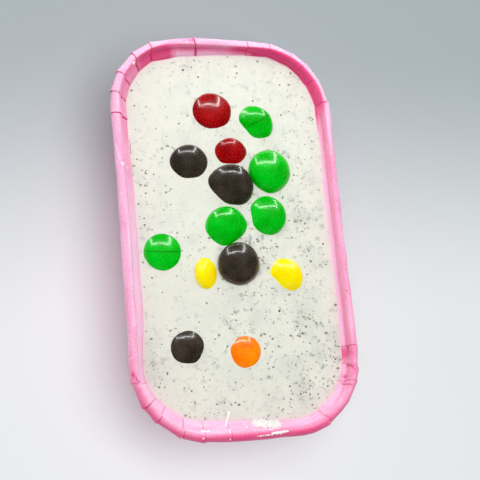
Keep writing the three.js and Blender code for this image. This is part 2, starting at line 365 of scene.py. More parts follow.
def tray_rows():
    rows = []
    last = FILLET_ROWS - 1
    for k in range(FILLET_ROWS):
        turn = math.radians(90 * (last - k) / last)
        inset = FOOT[0] + FILLET_WIDTH * (1 - math.cos(turn))
        height = PAPER + FLOOR_FILLET * (1 - math.sin(turn))
        rows.append(Row(inset, height, math.radians(90 - FILLET_TURN * k / last)))
    for k in range(1, WALL_ROWS + 1):
        share = k / WALL_ROWS
        inset = FOOT[0] + (KNEE[0] - FOOT[0]) * share
        height = FOOT[1] + (KNEE[1] - FOOT[1]) * share
        rows.append(Row(inset, height, WALL_SLOPE, lean=share))
    for k in range(1, LIP_ROWS + 1):
        share = k / LIP_ROWS * LIP_SHARE
        inset = KNEE[0] + (LIP_TOP[0] - KNEE[0]) * share
        height = KNEE[1] + (LIP_TOP[1] - KNEE[1]) * share
        slant = 1.0 - LIP_SLANT_LOST * share
        lean = 1.0 - LIP_LEAN_LOST * share
        near_curl = max(0.0, (k - LIP_ROWS / 2) / (LIP_ROWS / 2))
        rows.append(Row(inset, height, LIP_SLOPE, slant, lean, LIP_CURL * near_curl, LIP_RISE * near_curl**2))
    crease_z = ROLL_Z - CREASE_DEPTH
    rows.append(
        Row(CREASE_INSET, crease_z, CREASE_SLOPE, CREASE_SLANT, CREASE_LEAN, 1.0, 1.0, flat_up=CREASE_FILL)
    )
    for k in range(ROLL_ROWS):
        turn = math.radians(ROLL_START + (ROLL_END - ROLL_START) * k / (ROLL_ROWS - 1))
        inset = ROLL_RADIUS + ROLL_RADIUS * math.cos(turn)
        height = ROLL_Z + ROLL_RADIUS * math.sin(turn)
        slant = CURL_SLANT - CURL_SLANT * min(1.0, k / SLANT_ROWS)
        flat = max(0.0, 1 - k / FILLED_ROWS)  # the curl's start, which a press can fill out
        flat_in = (CURL_INSET - CURL_STEP * k - inset) * min(1.0, 3 * flat)
        rows.append(Row(inset, height, turn, slant, 0.0, 1.0, flat, flat_in, CURL_FILL * flat))
    return rows


def swell_share(height):
    return past(height / TRAY_HEIGHT, SWELL_FROM, SWELL_OVER)


def pressed_inset(inset, height, turn, lean, curl, flattened=0.0):
    """An inset of the plain section, moved as the press has moved the paper at this turn."""
    inset += at_turn(LIP_LEANS, turn) * lean + flattened
    inset *= 1 - curl * (1 - at_turn(ROLL_WIDTHS, turn))
    return inset - at_turn(RIM_SETS, turn) * past(height, SET_FROM, SET_OVER)


def tray_point(walk, row):
    """The place in metres where a row of the section crosses a walk."""
    foot_x, foot_y, angle = rim_foot(walk + pleat_slant(walk) * row.slant)
    out_x, out_y = math.cos(angle), math.sin(angle)
    turn = turn_at(foot_x + RIM_REACH * out_x, foot_y + RIM_REACH * out_y)
    flatness = at_turn(FLAT_CREASES, turn)
    inset = pressed_inset(row.inset, row.height, turn, row.lean, row.curl, row.flat_in * flatness)
    height = row.height + (row.flat_up * flatness + row.rise * at_turn(CREASE_RISES, turn))
    plain = CORNER_RADIUS - inset
    place = Vector((foot_x + plain * out_x, foot_y + plain * out_y, height))
    tremble = sum(noise.noise(place / length) * rough for length, rough in TREMBLES)
    relief, _ = pleat_relief(walk)
    fade = swell_share(row.height)
    on_wall = WALL_PLEAT * min(height / WALL_PLEAT_HEIGHT, 1.0)
    face = relief * (on_wall + (1 - WALL_PLEAT) * fade) + tremble * fade
    reach = plain + rim_swell(walk) * fade - face * math.cos(row.slope)
    lift = face * math.sin(row.slope)
    return Vector((foot_x + reach * out_x, foot_y + reach * out_y, height + lift)) * MM


def drawn_up(name, rings):
    """An outline is filled and then drawn on ring by ring, as a sheet is pressed over a mould."""
    bpy.ops.object.select_all(action="DESELECT")
    bpy.ops.mesh.primitive_circle_add(vertices=len(rings[0]), radius=1, fill_type="NGON")
    piece = bpy.context.object
    piece.name = name
    bpy.ops.object.mode_set(mode="EDIT")
    bpy.ops.mesh.select_mode(type="EDGE")
    bpy.ops.mesh.select_all(action="SELECT")
    sheet = bmesh.from_edit_mesh(piece.data)
    station = sheet.verts.layers.int.new("station")
    for vert in sheet.verts:
        vert[station] = vert.index
        vert.co = rings[0][vert.index]
    bmesh.update_edit_mesh(piece.data)
    for ring in rings[1:]:
        bpy.ops.mesh.extrude_edges_move()
        sheet = bmesh.from_edit_mesh(piece.data)
        station = sheet.verts.layers.int["station"]
        for vert in sheet.verts:
            if vert.select:
                vert.co = ring[vert[station]]
        bmesh.update_edit_mesh(piece.data)
    bpy.ops.object.mode_set(mode="OBJECT")
    return piece


rows = tray_rows()
tray = drawn_up("pressed_paper_tray", [[tray_point(walk, row) for walk in STATIONS] for row in rows])

# Marks on the sheet, each a value per vertex: painted shade in the bottom of a crease, painted shade where
# faces turn away from the lamps, painted light on the lit lip and the top of the roll, and streaks for the
# fibres, which the press drew out along the rim.
# Patches of painted shade on facets near the corners that the lamps leave dark.
SHADE_PATCH_HEIGHT = 36.0
SHADE_PATCHES = (  # pixels of the photograph's frame, radius in mm, strength
    ((345.0, 353.0), 2.2, 0.75),
    ((350.5, 351.0), 2.4, 0.35),
    ((342.0, 375.0), 1.4, 0.2),
    ((128.0, 80.0), 1.6, 0.3),
    ((321.5, 105.0), 1.6, 0.5),
)
# How strong the painted shade is on the roll's inner side, on the lip, in the crease and on the roll's outer
# side, where they turn from the lamps, and how strong the painted light is on the lip and the top of the
# roll, by turns round the tray.
INNER_SHADE = {
    0: 0.22, 26: 0.25, 32: 0.4, 37: 0.85, 60: 0.95, 80: 0.9, 85: 0.55, 114: 0.55, 117: 0.85, 129: 0.85,
    132: 0.5, 146: 0.3, 160: 0.1, 180: 0.0, 300: 0.0, 325: 0.22,
}
LIP_SHADE = {
    0: 0.0, 30: 0.0, 35: 0.85, 60: 0.95, 71: 0.95, 75: 0.0, 113: 0.0, 115: 0.85, 129: 0.85, 132: 0.35,
    150: 0.2, 165: 0.05, 180: 0.0, 215: 0.0, 240: 0.06, 300: 0.06, 325: 0.0,
}
CREASE_SHADE = {
    0: 0.35, 30: 0.4, 36: 0.0, 134: 0.0, 138: 0.4, 150: 0.4, 160: 0.0, 312: 0.0, 322: 0.45, 345: 0.35,
}
OUTER_SHADE = {
    0: 0.1, 90: 0.0, 170: 0.05, 208: 0.05, 214: 0.4, 222: 0.75, 260: 0.8, 300: 0.75, 314: 0.55, 325: 0.3,
    345: 0.2,
}
# painted light on the lip and on the top of the roll, where the lamps light them
LIT_LIP = {
    0: 1.0, 31: 1.0, 36: 0.0, 72: 0.0, 76: 0.35, 112: 0.35, 115: 0.0, 150: 0.1, 180: 0.9,
    215: 0.8, 250: 0.1, 300: 0.1, 345: 0.9,
}
LIT_ROLL_TOP = {
    20: 0.1, 34: 0.6, 60: 0.9, 80: 0.8, 90: 0.3, 98: 0.2, 105: 0.0, 120: 0.0, 130: 0.3, 145: 0.2, 180: 0.1,
    240: 0.0, 340: 0.0,
}
# painted shade in the lip's folds, wide and dark on these stretches
DEEP_FOLD_SHADE = {80: 0.0, 92: 1.0, 176: 1.0, 186: 0.0}  # where the folds of the lip are wide and dark
CREASE_LINES = (  # the height of a crease in mm, and pixels of the photograph's frame along it
    (35.5, ((347.0, 346.0), (347.3, 360.0))),
    (37.0, ((348.2, 360.5), (350.2, 364.5), (352.2, 367.5), (354.3, 369.8))),
    (35.5, ((337.0, 380.0), (341.0, 377.3), (346.5, 376.3))),
    (37.5, ((345.5, 383.0), (351.5, 385.0))),
    (35.5, ((131.0, 374.0), (137.0, 383.0))),
    (35.5, ((128.5, 372.0), (134.0, 379.0))),
    (37.6, ((189.8, 40.0), (192.6, 41.2))),
    (36.0, ((321.8, 104.6), (325.0, 103.4))),
)
# along these lines the painted shade is lifted and painted light is laid
PALE_LINES = (  # and pixels along the lines of bare paper between the pleats of the far right corner
    ((259.5, 52.6), (265.0, 53.6)),
    ((282.8, 60.7), (285.4, 61.7)),
    ((297.6, 71.8), (298.8, 73.0)),
)
# The zones of painted shade and painted light, by inset from the rim's outer edge in mm: how far in the
# roll's outer side fades out, its top ends and its inner side begins. Each passes into the next over a short
# fade.
OUTER_FROM = 0.9
OUTER_FADE = 1.8
TOP_TO = 2.0
INNER_FROM = 2.1
ZONE_FADE = 0.4
# the inner side's painted shade and the lip's overlap
ZONE_OVERLAP = 0.3  # the inner side's dye and the lip's overlap by this much to each side of the curl's end
# painted shade in the crease under the roll
CREASE_PAST = 0.05  # the crease's own dye lies this far past the curl's end, and is this wide
CREASE_SPREAD = 0.32
# the patches of painted shade fade in from this inset
PATCH_SHADE_FROM = 1.2
PATCH_SHADE_FADE = 1.2
MARKED_HEIGHT = 33.0  # the finer marks are only above this height, and nearer the edge than this
MARKED_INSET = 7.0
LINE_SPREAD = 0.22  # mm to each side of a crease's line
# how dark the painted shade along a crease line is
LINE_SHADE = 0.9
LINE_SINK = 0.14  # mm
BARE_HEIGHT = 35.0
BARE_SPREAD = 0.9  # mm up and down
BARE_PALE = 0.8
WIDE_FOLD = 2.2  # widths of a plain fold
# painted shade in a pleat's fold, growing with height
FOLD_SHADE_FROM = 6.0  # a fold darkens from this height on, and is full this much higher
FOLD_SHADE_OVER = 30.0
STREAKS = ((0.8, 3.2, 1.0), (2.1, 7.0, 0.6))  # width in mm, how quickly it changes round the tray, strength
STREAK_RISE = 0.7  # how a streak moves over the sheet with its height


def seen_at(pixel, height):
    """The place in mm that the camera sees at a pixel, on a level this high."""
    across, down = pixel
    middle = PHOTO_SIZE / 2
    focal = CAMERA_LENS / SENSOR_WIDTH * PHOTO_SIZE
    turn = Euler([math.radians(angle) for angle in CAMERA_ANGLES]).to_matrix()
    ray = turn @ Vector(((across - middle) / focal, (middle - down) / focal, -1))
    start = Vector(CAMERA_PLACE)
    return start + ray * ((height - start.z) / ray.z)


def off_run(point, start, end):
    """Distance from a point to a straight run."""
    run = end - start
    share = min(max((point - start).dot(run) / run.dot(run), 0), 1)
    return (point - start - run * share).length


def off_line(point, line):
    """Distance from a point to a chain of straight runs."""
    return min(off_run(point, start, end) for start, end in zip(line, line[1:]))


shade_patches = [(seen_at(pixel, SHADE_PATCH_HEIGHT).to_2d(), radius, amount) for pixel, radius, amount in SHADE_PATCHES]
creases = [[seen_at(pixel, height).to_2d() for pixel in line] for height, line in CREASE_LINES]
bare = [[seen_at(pixel, BARE_HEIGHT).to_2d() for pixel in line] for line in PALE_LINES]
marks = {name: np.zeros(len(tray.data.vertices)) for name in ("fold", "soak", "pale", "streak")}
station_of = [entry.value for entry in tray.data.attributes["station"].data]
depths = [pleat_relief(walk)[1] for walk in STATIONS]
wide_depths = [pleat_relief(walk, WIDE_FOLD * PLEAT_WIDTH)[1] for walk in STATIONS]
for vert in tray.data.vertices:
    place = vert.co / MM
    plan = place.to_2d()
    station = station_of[vert.index]
    turn = turn_at(*plan)
    reach = (plan - Vector(core_foot(*plan))).length
    inset = CORNER_RADIUS - reach
    # painted shade in the bottom of each pleat's fold
    fold = depths[station] * past(place.z, FOLD_SHADE_FROM, FOLD_SHADE_OVER)
    soak = 0.0
    if place.z > MARKED_HEIGHT and inset < MARKED_INSET:
        # each crease line is sunk a little and painted with shade
        for line in creases:
            near = bell(off_line(plan, line) / LINE_SPREAD)
            fold = max(fold, LINE_SHADE * near)
            vert.co.z -= LINE_SINK * near * MM
        curl_end = CURL_INSET * at_turn(ROLL_WIDTHS, turn)
        on_top = 1 - past(inset, TOP_TO, ZONE_FADE)
        on_inner = past(inset, INNER_FROM, ZONE_FADE) * (1 - past(inset, curl_end + ZONE_OVERLAP, ZONE_FADE))
        in_crease = bell((inset - curl_end - CREASE_PAST) / CREASE_SPREAD)
        on_lip = past(inset, curl_end - ZONE_OVERLAP, ZONE_FADE)
        # patches of painted shade, and painted shade where the roll's inner side, the crease and the lip turn
        # from the lamps
        patch_shade = max(amount * bell(((plan - middle).length / radius) ** 2) for middle, radius, amount in shade_patches)
        soak = max(
            patch_shade * past(inset, PATCH_SHADE_FROM, PATCH_SHADE_FADE),
            on_inner * at_turn(INNER_SHADE, turn),
            in_crease * at_turn(CREASE_SHADE, turn),
            on_lip * at_turn(LIP_SHADE, turn),
        )
        # painted light on the lip and the top of the roll
        pale = max(on_lip * (1 - patch_shade) * at_turn(LIT_LIP, turn), on_top * at_turn(LIT_ROLL_TOP, turn))
        # wider painted shade in the lip's folds
        fold = max(fold, wide_depths[station] * on_lip * at_turn(DEEP_FOLD_SHADE, turn))
        # paler lines: painted shade lifted and painted light laid along them
        for line in bare:
            aside = off_line(plan, line) / LINE_SPREAD
            near = bell(math.hypot(aside, (place.z - BARE_HEIGHT) / BARE_SPREAD))
            soak *= 1 - near
            pale = max(pale, BARE_PALE * near)
        marks["pale"][vert.index] = pale
    # painted shade on the roll's outer side, which faces down and away from the lamps
    on_outer = 1 - past(inset, OUTER_FROM, OUTER_FADE)
    marks["soak"][vert.index] = max(soak, on_outer * at_turn(OUTER_SHADE, turn))
    marks["fold"][vert.index] = fold
    round_turn = 2 * math.pi * STATIONS[station] / ROUND
    ring = Vector((math.cos(round_turn), math.sin(round_turn)))
    slide = reach + place.z * STREAK_RISE
    streak = sum(
        strength * noise.noise(Vector((slide / width, ring.x * change, ring.y * change)))
        for width, change, strength in STREAKS
    )
    marks["streak"][vert.index] = 0.5 + 0.5 * streak
for name, values in marks.items():
    tray.data.attributes.new(name, "FLOAT", "POINT").data.foreach_set("value", values)


def select_only(piece):
    bpy.ops.object.select_all(action="DESELECT")
    bpy.context.view_layer.objects.active = piece
    piece.select_set(True)


def apply_modifier(piece, kind, **settings):
    """Adds one modifier to a piece and applies it."""
    select_only(piece)
    made = piece.modifiers.new(kind.lower(), kind)
    for name, value in settings.items():
        setattr(made, name, value)
    bpy.ops.object.modifier_apply(modifier=made.name)


def smooth(piece, degrees=40):
    select_only(piece)
    bpy.ops.object.shade_smooth_by_angle(angle=math.radians(degrees))


apply_modifier(tray, "SOLIDIFY", thickness=PAPER * MM, offset=-1)
smooth(tray)


def colour(text):
    """A screen colour such as F4A1C7, turned to the linear values that shaders use."""
    parts = [int(text[k : k + 2], 16) / 255 for k in (0, 2, 4)]
    linear = [part / 12.92 if part <= 0.04045 else ((part + 0.055) / 1.055) ** 2.4 for part in parts]
    return (*linear, 1.0)


def add_node(material, kind, output, inputs=None, **settings):
    """Adds a node with its settings and gives one of its outputs; each input gets a value or a link."""
    made = material.node_tree.nodes.new("ShaderNode" + kind)
    for name, value in settings.items():
        setattr(made, name, value)
    for name, value in (inputs or {}).items():
        if isinstance(value, bpy.types.NodeSocket):
            material.node_tree.links.new(value, made.inputs[name])
        else:
            made.inputs[name].default_value = value
    return made.outputs[output] if output else None


def new_material(name):
    material = bpy.data.materials.new(name)
    material.use_nodes = True
    material.node_tree.nodes.clear()
    return material, add_node(material, "TexCoord", "Object")


def close_material(material, **inputs):
    """Ends a material in one Principled shader; names are its sockets', with _ for a space."""
    named = {name.replace("_", " "): value for name, value in inputs.items()}
    shader = add_node(material, "BsdfPrincipled", "BSDF", named)
    add_node(material, "OutputMaterial", None, {"Surface": shader})
    return material


# Dyed kraft board with a thin coating: a deep pink with fibres drawn out as faint streaks and a satin face,
# with painted light on the lit lip and roll top, and painted shade in the folds and where faces turn from the
# lamps. It is thin enough for light to glow through.
def dyed_paper():
    material, place = new_material("dyed_pressed_paper")
    cloud = add_node(material, "TexNoise", "Fac", {"Vector": place, "Scale": 1 / (9 * MM), "Detail": 2})
    fibre = add_node(material, "TexNoise", "Fac", {"Vector": place, "Scale": 1 / (0.7 * MM), "Detail": 3})
    streak = add_node(material, "Attribute", "Fac", attribute_name="streak")
    drawn = add_node(material, "Math", "Value", {0: streak, 1: cloud}, operation="ADD")
    tone = add_node(material, "MapRange", "Result", {"Value": drawn, "From Min": 0.65, "From Max": 1.4})
    fleck = add_node(
        material,
        "MapRange",
        "Result",
        {"Value": fibre, "From Min": 0.42, "From Max": 0.72, "To Max": 0.42},
    )
    pale = add_node(material, "Attribute", "Fac", attribute_name="pale")
    soak = add_node(material, "Attribute", "Fac", attribute_name="soak")
    fold = add_node(material, "Attribute", "Fac", attribute_name="fold")
    shade = add_node(material, "Math", "Value", {0: fold, 1: 0.95}, operation="MULTIPLY")
    # over the pink go the random tone and fibre flecks, then painted light, painted shade and painted shade
    # in the folds
    layers = ((tone, "FEC4E0"), (fleck, "FFE3F1"), (pale, "FFCBE6"), (soak, "E4367A"), (shade, "CC2468"))
    pink = colour("F296C2")
    for share, tint in layers:
        mix = {"Factor": share, "A": pink, "B": colour(tint)}
        pink = add_node(material, "Mix", "Result", mix, data_type="RGBA")
    grain = add_node(material, "Bump", "Normal", {"Height": fibre, "Strength": 0.6, "Distance": 0.1 * MM})
    return close_material(
        material,
        Base_Color=pink,
        Roughness=0.55,
        Normal=grain,
        IOR=1.5,
        Sheen_Weight=0.1,
        Sheen_Roughness=0.4,
        Subsurface_Weight=0.6,
        Subsurface_Radius=(1.0, 0.25, 0.45),
        Subsurface_Scale=0.6 * MM,
    )


tray.data.materials.clear()
tray.data.materials.append(dyed_paper())
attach(tray, "root")
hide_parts("paper_tray")

# ---------------------------------------------------------------- sweets
# Flat round chocolate lentils in a pan-coated sugar shell, dropped on the soft cream, so they lie half sunk
# and lean every way. Each stands where its plain solid stands, and is a little uneven, as a panned shell is.

SHELLS = {
    "red": ("8A0608", "A81012"),
    "green": ("00AC06", "02C61E"),
    "brown": ("2B251E", "403830"),
    "yellow": ("FFE000", "FFF000"),
    "orange": ("FC7000", "FC9404"),
}
SHELL_UNEVEN = 0.018  # of its radius
UNEVEN_CHANGE = 1.4  # how quickly that changes over the shell
NEXT_SHELL = 7.3  # each shell has its own unevenness, this far on in the noise
KNOB_FROM = 0.6  # of its radius: a knob grows out from the middle up to here
# Each sweet as it came out of the pan: how much wider and longer than round it is, seen from above, and its
# knobs and flats: their direction in degrees, how far they stand out, of its radius, and half their width.
SWEET_SHAPES = {
    "red_1": (1.09, 1.06, ((30, 0.02, 30),)),
    "green_1": (1.05, 1.01, ((165, 0.15, 22), (215, -0.05, 25))),
    "red_2": (1.02, 1.08, ((215, 0.09, 26), (325, 0.09, 26), (270, -0.03, 25), (90, 0.07, 30))),
    "brown_1": (1.03, 1.02, ((235, 0.06, 22), (308, 0.06, 22), (270, -0.03, 20), (90, 0.02, 40))),
    "green_2": (1.05, 1.04, ((268, 0.08, 24), (180, 0.02, 30))),
    "brown_2": (1.03, 1.01, ((170, 0.10, 24), (250, 0.03, 18), (295, 0.04, 22), (215, -0.02, 20))),
    "green_3": (1.05, 1.03, ((180, -0.06, 24), (148, 0.03, 18), (216, 0.05, 20))),
    "green_4": (1.04, 1.04, ((5, 0.07, 20), (253, 0.12, 24), (180, 0.03, 25), (310, -0.03, 22))),
    "green_5": (1.05, 1.04, ((320, 0.02, 30),)),
    "yellow_1": (1.20, 1.02, ((40, 0.03, 25), (320, 0.03, 25))),
    "brown_3": (1.01, 1.00, ((60, 0.02, 25), (210, 0.02, 25))),
    "yellow_2": (1.03, 0.97, ((162, 0.18, 20), (215, -0.05, 25))),
    "brown_4": (1.08, 1.03, ((200, 0.02, 25),)),
    "orange_1": (1.04, 1.05, ((172, 0.06, 24), (268, 0.05, 24))),
}


def lentil_of(node):
    """The middle, axis, radius and half thickness of a sweet's plain solid, in metres."""
    points = np.array([vert.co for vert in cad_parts[node].data.vertices])
    points = np.unique(points.round(7), axis=0)
    low, high = points.min(0), points.max(0)
    middle = (low + high) / 2
    _, ways = np.linalg.eigh(np.cov((points - middle).T))
    axis = ways[:, 0] * np.sign(ways[2, 0])
    away = points - middle
    along = away @ axis
    radius = np.linalg.norm(away - np.outer(along, axis), axis=1).max()
    return Vector(middle), Vector(axis), float(radius), float(np.abs(along).max())


sweet_nodes = sorted(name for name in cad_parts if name.startswith("sweet_"))
lentils = {node: lentil_of(node) for node in sweet_nodes}


# A panned sugar shell: saturated colour, thin and glossy, with the slow ripple of the pan, which bends the
# light of a lamp, and a fine bloom that dulls it here and there.
def sugar_shell(name, deep, light):
    material, place = new_material(name)
    cloud = add_node(material, "TexNoise", "Fac", {"Vector": place, "Scale": 1 / (5 * MM), "Detail": 2})
    tone = add_node(material, "MapRange", "Result", {"Value": cloud, "From Min": 0.35, "From Max": 0.68})
    mix = {"Factor": tone, "A": colour(deep), "B": colour(light)}
    sugar = add_node(material, "Mix", "Result", mix, data_type="RGBA")
    ripple = add_node(material, "TexNoise", "Fac", {"Vector": place, "Scale": 1 / (2.2 * MM), "Detail": 1})
    waves = add_node(material, "Bump", "Normal", {"Height": ripple, "Strength": 0.4, "Distance": 0.14 * MM})
    bloom = add_node(material, "TexNoise", "Fac", {"Vector": place, "Scale": 1 / (0.45 * MM), "Detail": 2})
    dull = add_node(
        material,
        "MapRange",
        "Result",
        {"Value": bloom, "From Min": 0.4, "From Max": 0.7, "To Min": 0.2, "To Max": 0.32},
    )
    return close_material(
        material,
        Base_Color=sugar,
        Roughness=dull,
        Normal=waves,
        IOR=1.52,
        Coat_Weight=0.5,
        Coat_Roughness=0.08,
        Coat_Normal=waves,
    )


def knob_swell(turn, knobs):
    """How far the shell's knobs and flats stand out in a direction, of its radius."""
    return sum(amount * bell(((turn - at + 180) % 360 - 180) / width) for at, amount, width in knobs)


shells = {name: sugar_shell(f"{name}_sugar_shell", *tones) for name, tones in SHELLS.items()}
for number, (node, (middle, axis, radius, half)) in enumerate(lentils.items()):
    bpy.ops.object.select_all(action="DESELECT")
    bpy.ops.mesh.primitive_uv_sphere_add(segments=64, ring_count=36, radius=1)
    sweet = bpy.context.object
    sweet.name = node.replace("sweet_", "candy_")
    for vert in sweet.data.vertices:
        own_place = Vector((number * NEXT_SHELL, 0, 0))
        vert.co *= 1 + SHELL_UNEVEN * noise.noise(vert.co * UNEVEN_CHANGE + own_place)
    stand = Vector((0, 0, 1)).rotation_difference(axis).to_matrix().to_4x4()
    size = Matrix.Diagonal((radius, radius, half, 1))
    sweet.data.transform(Matrix.Translation(middle) @ stand @ size)
    wide, long, knobs = SWEET_SHAPES[node.replace("sweet_", "")]
    for vert in sweet.data.vertices:
        away = vert.co - middle
        swell = knob_swell(math.degrees(math.atan2(away.y, away.x)), knobs)
        swell *= min(away.to_2d().length / (KNOB_FROM * radius), 1.0)
        vert.co = middle + Vector((away.x * (wide + swell), away.y * (long + swell), away.z))
    smooth(sweet, 80)
    sweet.data.materials.clear()
    sweet.data.materials.append(shells[node.split("_")[1]])
    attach(sweet, "root")
    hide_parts(node)

# ---------------------------------------------------------------- cream
# Soft cream, poured in while it still flowed and then set: its top is level but for slow waves, climbs a
# little at the paper and round each sweet, and stands higher towards the right and the far end.

CREAM_LEVEL = 33.4
CREAM_RISE_X = 0.028
CREAM_RISE_Y = 0.015
CREAM_MOST = 34.75  # it levels off there, and this softly
CREAM_SOFTNESS = 0.3
CREAM_STRIDE = 0.45  # mm between the vertices of its top
CREAM_MARGIN = 1.5  # mm that its first grid reaches past its solid
CREAM_OUTSIDE = -0.25  # mm to the paper, past which a face is cut away
CREAM_BITE = 0.12  # how far its edge reaches into the paper, so that no gap shows
WALL_BITE = 0.02
CREAM_FOOT = 0.3  # mm over the floor
PATCH_LENGTH = 4.0  # mm: its banks come and go in patches this long
BANK_HEIGHT = 0.10  # the bank round a sweet, and the ring at its shell
BANK_WIDTH = 2.6
RING_HEIGHT = 0.12
RING_WIDTH = 0.4
CLIMB_HEIGHT = 0.14  # its climb at the paper, which is missing where the patch is this thin
CLIMB_WIDTH = 0.8
CLIMB_MISSING = 0.2
WAVES = ((14.0, 0.18, 0.7), (3.5, 0.06, 5.2), (0.9, 0.02, 9.4))  # length and height in mm, place in the noise
OPEN = 9.0  # mm to the paper, which stands for any place further off
OPEN_CORE = 10.0  # mm from the core, up to which all is open
FAR = 99.0  # mm, where no sweet is near
SWEET_REACH = 14.0  # mm from its middle
FILM_LENGTH = 0.5  # mm over which the film of cream at the paper thickens, and more to the near right
FILM_MORE = 0.5
FILM_START = 30.0  # mm along the tray, from which it grows longer towards the bare end, over this run
FILM_RUN = 60.0
wall_rows = rows[:-ROLL_ROWS]
WALL_HEIGHTS = [row.height for row in wall_rows]
WALL_INSETS = [row.inset for row in wall_rows]
WALL_LEANS = [row.lean for row in wall_rows]
WALL_CURLS = [row.curl for row in wall_rows]
WALL_RISES = [row.rise for row in wall_rows]


def way_out(x, y):
    """The nearest point of the rectangle that joins the corners' centres, and the way out through x, y."""
    foot = Vector(core_foot(x, y))
    return foot, Vector((x, y)) - foot


def paper_reach(x, y, height):
    """How far out from the core the paper's inner face stands, on the line through x, y."""
    foot, out = way_out(x, y)
    turn = turn_at(*(foot + out.normalized() * RIM_REACH))
    rise = at_turn(CREASE_RISES, turn)
    levels = [level + rise * share for level, share in zip(WALL_HEIGHTS, WALL_RISES)]
    inset = np.interp(height, levels, WALL_INSETS)
    lean = np.interp(height, levels, WALL_LEANS)
    curl = np.interp(height, levels, WALL_CURLS)
    inset = float(pressed_inset(inset, height, turn, lean, curl))
    return CORNER_RADIUS - inset + rim_swell(walk_of(x, y)) * swell_share(height)


def place_at_paper(x, y, height, bite):
    """The place on the line through x, y that lies this far into the paper, at a height."""
    foot, out = way_out(x, y)
    edge = foot + out.normalized() * (paper_reach(x, y, height) + bite)
    return edge.x, edge.y, height


def from_sweet(point):
    """Distance in mm from a point, in mm, to the nearest sweet's shell, below zero inside it."""
    nearest = FAR
    for middle, axis, radius, half in lentils.values():
        away = point - middle / MM
        if abs(away.x) > SWEET_REACH or abs(away.y) > SWEET_REACH:
            continue
        along = away.dot(axis)
        across = (away - along * axis).length
        ratio = math.hypot(along / (half / MM), across / (radius / MM))
        nearest = min(nearest, away.length * (1 - 1 / max(ratio, 0.05)))
    return nearest


def plain_level(x, y):
    return CREAM_LEVEL + CREAM_RISE_X * x + CREAM_RISE_Y * y


def cream_height(x, y, to_paper):
    level = plain_level(x, y)
    level -= 0.5 * (level - CREAM_MOST + math.hypot(level - CREAM_MOST, CREAM_SOFTNESS))
    out = max(from_sweet(Vector((x, y, level))), 0.0)
    patch = 0.5 + noise.noise(Vector((x / PATCH_LENGTH, y / PATCH_LENGTH, 3.1)))
    level += (BANK_HEIGHT * bell(out / BANK_WIDTH) + RING_HEIGHT * math.exp(-out / RING_WIDTH)) * patch
    level += CLIMB_HEIGHT * math.exp(-max(to_paper, 0) / CLIMB_WIDTH) * (patch - CLIMB_MISSING)
    for length, height, shift in WAVES:
        level += height * noise.noise(Vector((x / length, y / length, shift)))
    return level


def cream_place(x, y):
    """The height of the cream's top at a place, and how far that place is from the paper."""
    _, out = way_out(x, y)
    to_paper = OPEN
    if out.length > OPEN_CORE:
        to_paper = paper_reach(x, y, plain_level(x, y)) - out.length
    return cream_height(x, y, to_paper), to_paper


cream_low, cream_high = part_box("cream")
half_x = max(-cream_low.x, cream_high.x) / MM + CREAM_MARGIN
half_y = max(-cream_low.y, cream_high.y) / MM + CREAM_MARGIN
bpy.ops.object.select_all(action="DESELECT")
bpy.ops.mesh.primitive_grid_add(
    x_subdivisions=round(2 * half_x / CREAM_STRIDE), y_subdivisions=round(2 * half_y / CREAM_STRIDE), size=2
)
cream = bpy.context.object
cream.name = "set_cream"
top = bmesh.new()
top.from_mesh(cream.data)
film = top.verts.layers.float.new("film")
near_paper = {}
for vert in top.verts:
    vert.co.x *= half_x
    vert.co.y *= half_y
    vert.co.z, near_paper[vert] = cream_place(vert.co.x, vert.co.y)
outside = [face for face in top.faces if all(near_paper[vert] < CREAM_OUTSIDE for vert in face.verts)]
bmesh.ops.delete(top, geom=outside, context="FACES")
for vert in top.verts:
    near_right = max(vert.co.x, 0) / half_x * past(-vert.co.y, -FILM_START, FILM_RUN)
    vert[film] = math.exp(-max(near_paper[vert], 0) / (FILM_LENGTH + FILM_MORE * near_right))
    if vert.is_boundary:
        height = cream_height(vert.co.x, vert.co.y, 0)
        vert.co = place_at_paper(vert.co.x, vert.co.y, height, CREAM_BITE)
        vert[film] = 1.0
top.to_mesh(cream.data)
top.free()

# its body goes down the wall to the floor
bpy.ops.object.mode_set(mode="EDIT")
bpy.ops.mesh.select_mode(type="EDGE")
bpy.ops.mesh.select_all(action="DESELECT")
bpy.ops.mesh.select_non_manifold(
    use_wire=False, use_multi_face=False, use_non_contiguous=False, use_verts=False
)
for height in (KNEE[1], (KNEE[1] + FOOT[1]) / 2, FOOT[1], PAPER + CREAM_FOOT):
    bpy.ops.mesh.extrude_edges_move()
    body = bmesh.from_edit_mesh(cream.data)
    for vert in body.verts:
        if vert.select:
            vert.co = place_at_paper(vert.co.x, vert.co.y, height, WALL_BITE)
    bmesh.update_edit_mesh(cream.data)
bpy.ops.mesh.edge_face_add()
bpy.ops.mesh.select_all(action="SELECT")
bpy.ops.mesh.normals_make_consistent(inside=False)
bpy.ops.object.mode_set(mode="OBJECT")
cream.data.transform(Matrix.Scale(MM, 4))
smooth(cream, 50)


